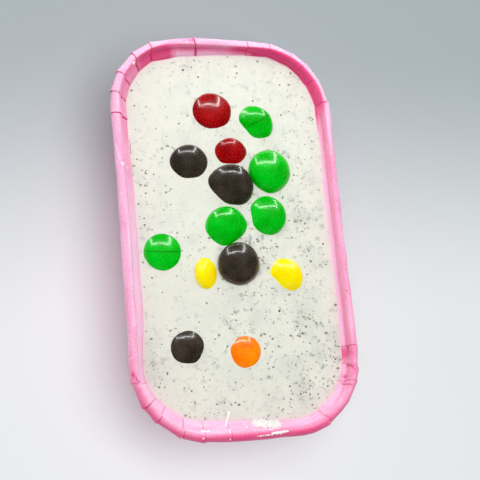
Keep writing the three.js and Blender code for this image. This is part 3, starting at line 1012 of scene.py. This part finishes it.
# Set cream: dense, near matt and off-white, and light soaks in a little. Crumbs that lie under its skin show
# as soft grey clouds, fine dust as faint pepper, and the pink paper shows through its thin edge.
def set_cream():
    material, place = new_material("set_cream")
    crumbed = add_node(material, "Attribute", "Fac", attribute_name="crumbed")
    share = add_node(
        material,
        "MapRange",
        "Result",
        {"Value": crumbed, "From Min": 0.1, "From Max": 1.3, "To Min": 0.18, "To Max": 1.4},
    )
    cloud = add_node(material, "TexNoise", "Fac", {"Vector": place, "Scale": 1 / (7 * MM), "Detail": 3})
    tone = add_node(
        material,
        "MapRange",
        "Result",
        {"Value": cloud, "From Min": 0.42, "From Max": 0.66, "To Max": 0.8},
    )
    dull = add_node(material, "Math", "Value", {0: tone, 1: share}, operation="MULTIPLY")
    drowned = add_node(material, "TexNoise", "Fac", {"Vector": place, "Scale": 1 / (2.2 * MM), "Detail": 2})
    spot = add_node(
        material,
        "MapRange",
        "Result",
        {"Value": drowned, "From Min": 0.56, "From Max": 0.76, "To Max": 0.8},
        interpolation_type="SMOOTHSTEP",
    )
    clouded = add_node(material, "Math", "Value", {0: spot, 1: share}, operation="MULTIPLY", use_clamp=True)
    dust = add_node(material, "TexVoronoi", "Distance", {"Vector": place, "Scale": 1 / (1.3 * MM)})
    grain = add_node(
        material,
        "MapRange",
        "Result",
        {"Value": dust, "From Min": 0.08, "From Max": 0.4, "To Min": 1.0, "To Max": 0.0},
    )
    some = add_node(
        material,
        "MapRange",
        "Result",
        {"Value": dust.node.outputs["Color"], "From Min": 0.35, "From Max": 1.0, "To Max": 0.85},
    )
    ground = add_node(material, "Math", "Value", {0: some, 1: share}, operation="MULTIPLY")
    pepper = add_node(material, "Math", "Value", {0: grain, 1: ground}, operation="MULTIPLY")
    film_depth = add_node(material, "Attribute", "Fac", attribute_name="film")
    thin = add_node(material, "Math", "Value", {0: film_depth, 1: 0.65}, operation="MULTIPLY")
    white = colour("DFE0D4")
    for part, tint in ((dull, "CFD1C8"), (clouded, "9DA3A3"), (pepper, "98967F"), (thin, "F3C9D6")):
        mix = {"Factor": part, "A": white, "B": colour(tint)}
        white = add_node(material, "Mix", "Result", mix, data_type="RGBA")
    return close_material(
        material,
        Base_Color=white,
        Roughness=0.45,
        IOR=1.45,
        Subsurface_Weight=0.3,
        Subsurface_Radius=(1.0, 0.9, 0.75),
        Subsurface_Scale=0.5 * MM,
    )


cream.data.materials.clear()
cream.data.materials.append(set_cream())
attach(cream, "root")
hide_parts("cream")

# ---------------------------------------------------------------- cookie crumbs
# Dark biscuit ground into the cream: angular crumbs and dust at its surface, half sunk, thicker to the right
# and towards the bare end, and thin or missing where the cream was pushed aside under the sweets.

# how many, the smallest and largest in mm, how deep they lie, of their size, and the colours between which a
# kind lies
CRUMBS = {
    "dark_crumbs": (68, 0.42, 0.9, 0.12, ("36342A", "5A5846")),
    "olive_crumbs": (280, 0.55, 1.2, 0.12, ("8C8A72", "A5A38C")),
    "fine_crumbs": (60, 0.24, 0.4, 0.12, ("5A5846", "7A7864")),
    "sunken_crumbs": (900, 0.7, 1.7, 0.30, ("A6ABA9", "B8BCB8")),
}
CRUMB_WIDTHS = (0.8, 1.35)  # of its size
CRUMB_DEPTHS = (0.75, 1.1)
CRUMB_HEIGHT = 0.7
CRUMB_CORNERS = (0.8, 1.2)  # how far its corners stand out
FULL_TURN = 6.3  # radians
CLEAR_OF_PAPER = 0.6  # mm
CLEAR_OF_SWEET = 0.3
# How thick the crumbs lie on plain ground, how much more towards the bare end and to the right, and in a
# patch.
GROUND_THICKNESS = 0.58
MORE_NEAR = 0.15
NEAR_RUN = 40
MORE_RIGHT = 0.02
RIGHT_RUN = 30
MORE_IN_PATCH = 0.75
LEAST_THICKNESS = 0.05
MOST_THICKNESS = 3
CLUMP_LENGTH = 5  # mm: they clump over this length, from the lesser to the full share
CLUMP_LEAST = 0.6
CLUMP_MORE = 0.9
CRUMB_PATCHES = (  # pixels of the photograph's frame, radius in mm, and how much thicker than the ground
    ((285, 215), 7.0, 2.2),
    ((255, 250), 7.0, 1.8),
    ((290, 178), 6.0, 0.9),
    ((245, 322), 6.5, 0.9),
    ((322, 358), 7.0, 1.0),
    ((322, 392), 6.0, 1.2),
    ((142, 362), 5.5, 1.2),
    ((300, 320), 9.0, 0.7),
    ((180, 72), 6.0, 0.5),
    ((305, 128), 7.0, 0.3),
    ((212, 213), 5.5, -0.9),
    ((192, 190), 4.5, -0.9),
    ((200, 296), 6.0, -0.6),
    ((150, 110), 9.0, -0.4),
    ((235, 378), 5.0, -0.7),
    ((180, 372), 4.5, -0.6),
    ((160, 285), 8.0, -0.6),
)
PLACED_CRUMBS = {  # single crumbs that catch the eye: pixels of the photograph's frame, and size in mm
    "olive_crumbs": (
        ((146.2, 192.6), 0.95), ((139.6, 216.0), 0.5), ((210.8, 379.6), 0.6), ((154.2, 369.2), 0.6),
        ((243.8, 385.4), 0.6), ((290.4, 402.1), 0.6),
        ((159.0, 368.6), 0.45),
    ),
    "dark_crumbs": (
        ((309.0, 119.0), 0.7), ((310.4, 122.0), 0.6), ((192.9, 390.8), 0.65), ((225.7, 402.7), 0.6),
        ((232.3, 404.6), 0.62), ((165.8, 387.1), 0.6), ((161.4, 383.1), 0.5), ((265.8, 334.2), 0.6),
        ((302.5, 333.3), 0.8), ((265.4, 348.5), 0.65), ((306.7, 351.3), 0.6), ((300.2, 385.8), 0.6),
        ((310.4, 385.8), 0.65), ((301.3, 394.0), 0.75), ((306.3, 392.2), 0.6), ((335.2, 341.8), 0.6),
        ((338.2, 346.6), 0.6), ((333.3, 357.0), 0.65), ((335.2, 359.0), 0.8), ((334.4, 362.0), 0.6),
        ((326.3, 360.4), 0.6), ((182.5, 250.5), 0.7), ((240.9, 238.5), 0.5), ((244.0, 262.5), 0.6),
        ((323.2, 351.0), 0.5), ((217.7, 403.9), 0.6),
    ),
    "sunken_crumbs": (
        ((181.4, 408.8), 1.1), ((229.2, 397.1), 1.1), ((221.8, 380.4), 1.0), ((312.5, 356.3), 1.5),
        ((272.5, 402.1), 1.4), ((254.6, 378.8), 1.2), ((302.5, 369.2), 1.1), ((323.8, 395.8), 1.2),
        ((257.9, 391.3), 0.7), ((267.9, 418.8), 1.3), ((324.6, 355.0), 1.0), ((327.0, 366.5), 1.4),
        ((323.5, 314.8), 1.5), ((262.9, 398.8), 0.8),
    ),
}


def crumb_thickness(x, y):
    thick = GROUND_THICKNESS + MORE_NEAR * min(max(-y / NEAR_RUN, -1), 1) + MORE_RIGHT * x / RIGHT_RUN
    for middle, radius, more in patches:
        thick += MORE_IN_PATCH * more * bell((Vector((x, y)) - middle).length / radius)
    clump = max(0.2 + noise.noise(Vector((x / CLUMP_LENGTH, y / CLUMP_LENGTH, 4.4))), 0)
    return max(thick, LEAST_THICKNESS) * (CLUMP_LEAST + CLUMP_MORE * clump)


patches = [(seen_at(pixel, CREAM_LEVEL).to_2d(), radius, more) for pixel, radius, more in CRUMB_PATCHES]
crumbed = np.array([crumb_thickness(vert.co.x / MM, vert.co.y / MM) for vert in cream.data.vertices])
cream.data.attributes.new("crumbed", "FLOAT", "POINT").data.foreach_set("value", crumbed)
bpy.ops.object.select_all(action="DESELECT")
bpy.ops.mesh.primitive_ico_sphere_add(subdivisions=1, radius=0.5)
pattern = bpy.context.object
pattern_verts = [vert.co.copy() for vert in pattern.data.vertices]
pattern_faces = [tuple(face.vertices) for face in pattern.data.polygons]
bpy.data.objects.remove(pattern)


# A matt, mottled stuff, such as baked biscuit in olive and grey: each lump is a shade of its own.
def mottled(name, tones, lump, detail, roughness):
    material, place = new_material(name)
    lumps = {"Vector": place, "Scale": 1 / (lump * MM), "Detail": detail}
    shade = add_node(material, "TexNoise", "Fac", lumps)
    tone = add_node(material, "MapRange", "Result", {"Value": shade, "From Min": 0.35, "From Max": 0.65})
    mix = {"Factor": tone, "A": colour(tones[0]), "B": colour(tones[1])}
    mixed = add_node(material, "Mix", "Result", mix, data_type="RGBA")
    return close_material(material, Base_Color=mixed, Roughness=roughness)


def new_piece(name, verts, faces, material):
    mesh = bpy.data.meshes.new(name)
    mesh.from_pydata(verts, [], faces)
    mesh.materials.append(material)
    piece = bpy.data.objects.new(name, mesh)
    bpy.context.collection.objects.link(piece)
    return piece


chance = random.Random(41)
for kind, (count, smallest, largest, deep, tones) in CRUMBS.items():
    spots = [(seen_at(pixel, CREAM_LEVEL), size) for pixel, size in PLACED_CRUMBS.get(kind, ())]
    while len(spots) < count:
        x = chance.uniform(-half_x, half_x)
        y = chance.uniform(-half_y, half_y)
        height, to_paper = cream_place(x, y)
        if to_paper < CLEAR_OF_PAPER or from_sweet(Vector((x, y, height))) < CLEAR_OF_SWEET:
            continue
        if chance.random() * MOST_THICKNESS > crumb_thickness(x, y):
            continue
        size = smallest + (largest - smallest) * chance.random() ** 2
        spots.append((Vector((x, y, height)), size))
    verts, faces = [], []
    for spot, size in spots:
        height, _ = cream_place(spot.x, spot.y)
        turn = Euler([chance.uniform(0, FULL_TURN) for _ in range(3)]).to_matrix()
        squat = Matrix.Diagonal((chance.uniform(*CRUMB_WIDTHS), chance.uniform(*CRUMB_DEPTHS), CRUMB_HEIGHT))
        middle = Vector((spot.x, spot.y, height - deep * size))
        start = len(verts)
        for corner in pattern_verts:
            angular = turn @ (corner * chance.uniform(*CRUMB_CORNERS))
            verts.append((middle + squat @ angular * size) * MM)
        faces += [tuple(start + index for index in face) for face in pattern_faces]
    biscuit = mottled(kind.replace("crumbs", "biscuit"), tones, lump=1.1, detail=1, roughness=0.7)
    crumbs = new_piece(kind, verts, faces, biscuit)
    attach(crumbs, "root")

# ---------------------------------------------------------------- smears, stains and cracks
# Cream that ran over the lip and dried, a thin ragged smear at the bare end, flecks on the roll and scuffs
# on the paper, a few stains of sugar and cocoa, crumbs on the lip, and the hairline cracks of two shells.
# Each lies on what carries it, where the camera sees it, and thins to its edge.

DOT_CORNERS = 8


def strip(points, width):
    """The outline of a thin line through the points."""
    points = [Vector(point) for point in points]
    left, right = [], []
    for index, point in enumerate(points):
        along = (points[min(index + 1, len(points) - 1)] - points[max(index - 1, 0)]).normalized()
        aside = Vector((-along.y, along.x)) * width / 2
        left.append(tuple(point + aside))
        right.append(tuple(point - aside))
    return left + right[::-1]


def dot(middle, width):
    across, down = middle
    return [
        (across + width / 2 * math.cos(turn), down + width / 2 * math.sin(turn))
        for turn in np.linspace(0, 2 * math.pi, DOT_CORNERS, endpoint=False)
    ]


SMEARS = {  # outlines in pixels of the photograph's frame, and the thickness in mm
    "lip_smear": (
        ([(248.0, 417.6), (249.6, 421.0), (251.5, 424.5), (255.0, 428.4), (262.0, 428.6), (268.0, 429.2),
          (275.0, 428.4), (282.5, 427.6), (281.0, 422.0), (278.6, 417.0)], 0.12),
    ),
    "cream_flecks": (
        ([(256.5, 435.8), (262.0, 434.8), (271.0, 433.6), (271.4, 435.4), (262.0, 436.6),
          (257.0, 437.2)], 0.2),
        ([(270.6, 432.2), (280.0, 430.6), (288.8, 429.4), (290.0, 432.2), (281.0, 434.2),
          (271.4, 435.6)], 0.26),
        ([(252.5, 429.0), (262.0, 429.6), (272.0, 428.8), (280.0, 427.6), (280.4, 428.8), (272.0, 430.0),
          (262.0, 430.8), (252.8, 430.2)], 0.12),
        ([(227.6, 410.6), (230.6, 411.0), (229.0, 419.0), (226.2, 427.0), (224.6, 426.2),
          (226.4, 418.0)], 0.22),
        ([(200.0, 430.8), (203.0, 429.2), (206.0, 430.6), (209.6, 429.4), (210.4, 431.8), (207.6, 433.0),
          (204.0, 432.4), (201.0, 433.4)], 0.16),
        (dot((207.0, 436.2), 2.0), 0.14),
        (dot((203.4, 438.8), 2.6), 0.16),
        (dot((230.6, 439.4), 2.4), 0.18),
        (strip([(228.8, 428.0), (230.2, 433.6)], 1.6), 0.12),
        (dot((246.8, 427.0), 2.4), 0.16),
        (dot((181.4, 438.3), 2.0), 0.18),
        (dot((329.5, 422.4), 1.8), 0.16),
        ([(132.0, 62.0), (134.4, 60.6), (135.4, 62.8), (133.6, 64.8), (132.2, 64.4)], 0.25),
        (dot((187.5, 41.8), 2.2), 0.12),
    ),
    "paper_scuffs": (
        (strip([(115.6, 143.6), (118.2, 153.0), (120.2, 160.0)], 0.9), 0.03),
        ([(120.6, 161.0), (124.0, 161.6), (124.8, 165.0), (121.6, 165.8)], 0.03),
        (strip([(126.4, 165.0), (127.6, 171.0)], 1.0), 0.03),
        (strip([(118.8, 193.2), (123.2, 192.8)], 1.0), 0.04),
        (strip([(132.4, 319.0), (134.6, 327.0)], 0.8), 0.03),
        (strip([(136.6, 318.0), (135.4, 326.0)], 0.8), 0.03),
        (strip([(128.8, 360.2), (133.0, 356.6), (137.6, 353.6)], 0.8), 0.03),
        (strip([(134.6, 385.2), (138.4, 386.6), (142.6, 386.2)], 0.8), 0.03),
        (strip([(110.8, 91.2), (118.0, 91.6)], 0.8), 0.04),
        (strip([(117.6, 71.4), (123.8, 73.8)], 0.7), 0.04),
        (dot((122.0, 99.0), 1.4), 0.04),
    ),
    "colour_stains": (
        (dot((348.6, 285.8), 1.3), 0.04),
        (dot((346.9, 290.6), 2.1), 0.05),
        (dot((349.2, 294.2), 1.5), 0.04),
    ),
    "cocoa_stains": (
        (strip([(129.4, 138.0), (130.2, 147.0), (130.9, 154.6)], 0.8), 0.04),
        (strip([(131.8, 160.5), (132.6, 168.0), (133.2, 176.0)], 0.7), 0.04),
        (dot((134.9, 181.3), 1.5), 0.06),
        (dot((337.6, 380.4), 1.6), 0.05),
    ),
    "lip_crumbs": (
        (dot((266.7, 419.4), 2.4), 0.4),
        (dot((263.6, 417.6), 1.6), 0.35),
        (dot((266.8, 424.4), 1.5), 0.35),
        (dot((246.0, 420.0), 1.0), 0.1),
    ),
    "shell_cracks": (
        (strip([(248.2, 126.0), (254.0, 123.4), (260.0, 120.8), (265.0, 117.4), (269.6, 114.6)], 1.0), 0.03),
        (strip([(145.2, 250.6), (152.0, 251.4), (160.0, 251.9), (170.0, 251.6), (180.6, 251.4)], 0.9), 0.03),
    ),
}
SMEAR_STEP = 0.35  # pixels between the vertices of a smear
EDGE_LENGTH = 1.6  # pixels over which its edge wanders
STROKE_LENGTHS = (0.8, 3.2)  # and the same across and along the strokes that brushed it out
THINNING = 0.7  # pixels over which it thins to its edge
SMEAR_LIFT = 0.03  # mm that its edge stands up, and that its underside lies in the paper
SMEAR_SINK = 0.12


def tree_of(piece):
    places = [vert.co.copy() for vert in piece.data.vertices]
    return BVHTree.FromPolygons(places, [tuple(face.vertices) for face in piece.data.polygons])


carriers = [tree_of(tray), tree_of(cream)]
cracked = [tree_of(bpy.data.objects[name]) for name in ("candy_green_1", "candy_green_5")]


def first_hit(pixel, trees):
    """Where the camera's line of sight through a pixel first meets one of the pieces, and the face's way."""
    start = Vector(CAMERA_PLACE) * MM
    way = (seen_at(pixel, 0) * MM - start).normalized()
    hits = [tree.ray_cast(start, way) for tree in trees]
    hits = [hit for hit in hits if hit[0] is not None]
    return min(hits, key=lambda hit: hit[3]) if hits else None


def inside(point, outline):
    """Distance from a point to an outline's edge, above zero inside it, in pixels."""
    closed = list(zip(outline, outline[1:] + outline[:1]))
    edge = min(off_run(point, start, end) for start, end in closed)
    crossings = 0
    for start, end in closed:
        if (start.y > point.y) != (end.y > point.y):
            if point.x < start.x + (point.y - start.y) / (end.y - start.y) * (end.x - start.x):
                crossings += 1
    return edge if crossings % 2 else -edge


def lay_smear(outline, thickness, ragged, brushed, trees, verts, faces):
    """A sheet of cream over the outline: a top that thins to its edge, and an underside in the paper."""
    outline = [Vector(point) for point in outline]
    left = min(point.x for point in outline) - 1
    high = min(point.y for point in outline) - 1
    columns = round((max(point.x for point in outline) + 1 - left) / SMEAR_STEP)
    lines = round((max(point.y for point in outline) + 1 - high) / SMEAR_STEP)
    stroke_x, stroke_y = STROKE_LENGTHS
    tops, unders = {}, {}
    for column in range(columns + 1):
        for line in range(lines + 1):
            point = Vector((left + column * SMEAR_STEP, high + line * SMEAR_STEP))
            wander = noise.noise(Vector((point.x / EDGE_LENGTH, point.y / EDGE_LENGTH, 2.7)))
            stroke = noise.noise(Vector((point.x / stroke_x, point.y / stroke_y, 6.1)))
            depth = inside(point, outline) + ragged * wander - brushed * abs(stroke)
            hit = first_hit(point, trees)
            if depth < 0 or hit is None:
                continue
            body = thickness * (1 - math.exp(-depth / THINNING)) * (0.75 + 0.5 * wander)
            face = hit[1] if hit[1].z > 0 else -hit[1]
            tops[column, line] = len(verts)
            verts.append(hit[0] + face * (SMEAR_LIFT + body) * MM)
            unders[column, line] = len(verts)
            verts.append(hit[0] - face * SMEAR_SINK * MM)
    cells = []
    for column, line in tops:
        corners = ((column, line), (column + 1, line), (column + 1, line + 1), (column, line + 1))
        if all(corner in tops for corner in corners):
            cells.append(corners)
    edges = set()
    for corners in cells:
        faces.append([tops[corner] for corner in reversed(corners)])
        faces.append([unders[corner] for corner in corners])
        edges.update(zip(corners, corners[1:] + corners[:1]))
    for start, end in sorted(edges):
        if (end, start) not in edges:
            faces.append([tops[start], tops[end], unders[end], unders[start]])


# Dried cream and scuffed fibre are near matt and lumpy, and the stains and cracks are plain dark or bright
# marks.
def dried(name, tones, roughness):
    return mottled(name, tones, lump=0.6, detail=2, roughness=roughness)


# how ragged and how brushed out a kind is, in pixels, its material, and a slot's name
SMEAR_LOOKS = {
    "lip_smear": (3.0, 3.0, dried("thin_cream", ("D6D4D0", "E8E6E0"), 0.5), "cream"),
    "cream_flecks": (0.8, 0.8, dried("dried_cream", ("F6EFE8", "FBFAF6"), 0.5), "cream"),
    "paper_scuffs": (0.4, 0.0, dried("scuffed_fibre", ("FBD3E6", "FFF2F8"), 0.7), "paper"),
    "colour_stains": (0.3, 0.0, dried("sugar_stain", ("D8401A", "EE6A2A"), 0.5), "orange_shell"),
    "cocoa_stains": (0.3, 0.0, dried("cocoa_stain", ("8A4A34", "A8705A"), 0.6), "cream"),
    "lip_crumbs": (0.6, 0.0, dried("lip_biscuit", ("6A6A60", "8A897E"), 0.7), "cream"),
    "shell_cracks": (0.1, 0.0, dried("cracked_edge", ("06260A", "0C3414"), 0.7), "green_shell"),
}
for name, entries in SMEARS.items():
    ragged, brushed, material, slot = SMEAR_LOOKS[name]
    verts, faces = [], []
    for outline, thickness in entries:
        trees = cracked if name == "shell_cracks" else carriers
        lay_smear(outline, thickness, ragged, brushed, trees, verts, faces)
    smear = new_piece(name, verts, faces, material)
    select_only(smear)
    bpy.ops.object.mode_set(mode="EDIT")
    bpy.ops.mesh.select_all(action="SELECT")
    bpy.ops.mesh.delete_loose()
    bpy.ops.mesh.select_all(action="SELECT")
    bpy.ops.mesh.normals_make_consistent(inside=False)
    bpy.ops.object.mode_set(mode="OBJECT")
    smooth(smear, 60)
    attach(smear, "root")

# ---------------------------------------------------------------- floor and light
# A plain pale floor, with painted shade that darkens it towards the far end. A frame of four lamps stands
# over the far end, as in a small photo tent, and a broad soft light from above opens the shadows. The floor
# has a wash of its own, so that the lamps throw no hard shadow on it.

# the floor's painted shade grows from the near one to the far one
FLOOR_NEAR = -0.03  # metres along the tray: the floor shades off between these
FLOOR_FAR = 0.085
bpy.ops.object.select_all(action="DESELECT")
bpy.ops.mesh.primitive_plane_add(size=3, location=(0, 0, -0.2 * MM))
floor = bpy.context.object
floor.name = "floor"


def pale_floor():
    material, place = new_material("pale_floor")
    along = add_node(material, "SeparateXYZ", "Y", {"Vector": place})
    far_shade = add_node(
        material,
        "MapRange",
        "Result",
        {"Value": along, "From Min": FLOOR_NEAR, "From Max": FLOOR_FAR},
        interpolation_type="SMOOTHSTEP",
    )
    # painted shade: the floor darkens towards the far end, where the light falls off
    mix = {"Factor": far_shade, "A": colour("ECF0F0"), "B": colour("B6BFC2")}
    grey = add_node(material, "Mix", "Result", mix, data_type="RGBA")
    return close_material(material, Base_Color=grey, Roughness=0.8)


floor.data.materials.append(pale_floor())

floor_alone = bpy.data.collections.new("floor_alone")
floor_alone.objects.link(floor)
all_but_floor = bpy.data.collections.new("all_but_floor")
all_but_floor.objects.link(floor)
all_but_floor.collection_objects[0].light_linking.link_state = "EXCLUDE"

AIM = Vector((0, 0, 0.03))  # metres: the lamps face the middle of the tray


def hang_lamp(name, place, turn, width, depth, power, lit):
    bpy.ops.object.light_add(type="AREA", location=place, rotation=turn)
    lamp = bpy.context.object
    lamp.name = name
    lamp.data.shape = "RECTANGLE"
    lamp.data.size = width
    lamp.data.size_y = depth
    lamp.data.energy = power
    lamp.light_linking.receiver_collection = lit
    return lamp


# the frame's corners, in metres: near left, near right, far right and far left
FRAME = ((-0.22, 0.28, 0.44), (0.24, 0.25, 0.46), (0.30, 0.53, 0.07), (-0.24, 0.54, 0.07))
BAR_WIDTH = 0.024
BAR_POWERS = (0.75, 0.75, 0.4, 0.65)
for number, power in enumerate(BAR_POWERS):
    start, end = Vector(FRAME[number]), Vector(FRAME[(number + 1) % 4])
    middle = (start + end) / 2
    along = (end - start).normalized()
    forward = (AIM - middle).normalized()
    across = along.cross(forward).normalized()
    facing = along.cross(across).normalized()
    if facing.dot(forward) < 0:
        facing = -facing
    turn = Matrix((along, (-facing).cross(along), -facing)).transposed().to_euler()
    name = f"frame_lamp_{number + 1}"
    hang_lamp(name, middle, turn, (end - start).length, BAR_WIDTH, power, all_but_floor)

SOFT_LIGHTS = {  # place in metres, width and depth, power, and what it lights
    "floor_wash": ((-0.08, -0.12, 1.1), 0.9, 0.9, 11.9, floor_alone),
    "soft_top_light": ((0.05, 0.14, 0.8), 0.9, 0.6, 2.5, all_but_floor),
    "soft_far_light": ((0.05, 0.42, 0.30), 0.45, 0.30, 0.15, all_but_floor),
    "soft_near_fill": ((-0.08, -0.55, 0.40), 0.6, 0.5, 1.18, all_but_floor),
    "soft_left_fill": ((-0.60, 0.05, 0.35), 0.4, 0.4, 0.95, all_but_floor),
    "soft_right_fill": ((0.60, 0.05, 0.35), 0.4, 0.4, 0.45, all_but_floor),
}
for name, (place, width, depth, power, lit) in SOFT_LIGHTS.items():
    turn = (AIM - Vector(place)).to_track_quat("-Z", "Y").to_euler()
    soft = hang_lamp(name, place, turn, width, depth, power, lit)
    soft.visible_glossy = False

WORLD_STRENGTH = 0.19
world = bpy.context.scene.world or bpy.data.worlds.new("studio")
bpy.context.scene.world = world
world.use_nodes = True
background = world.node_tree.nodes["Background"]
background.inputs["Color"].default_value = colour("EEF2F6")
background.inputs["Strength"].default_value = WORLD_STRENGTH
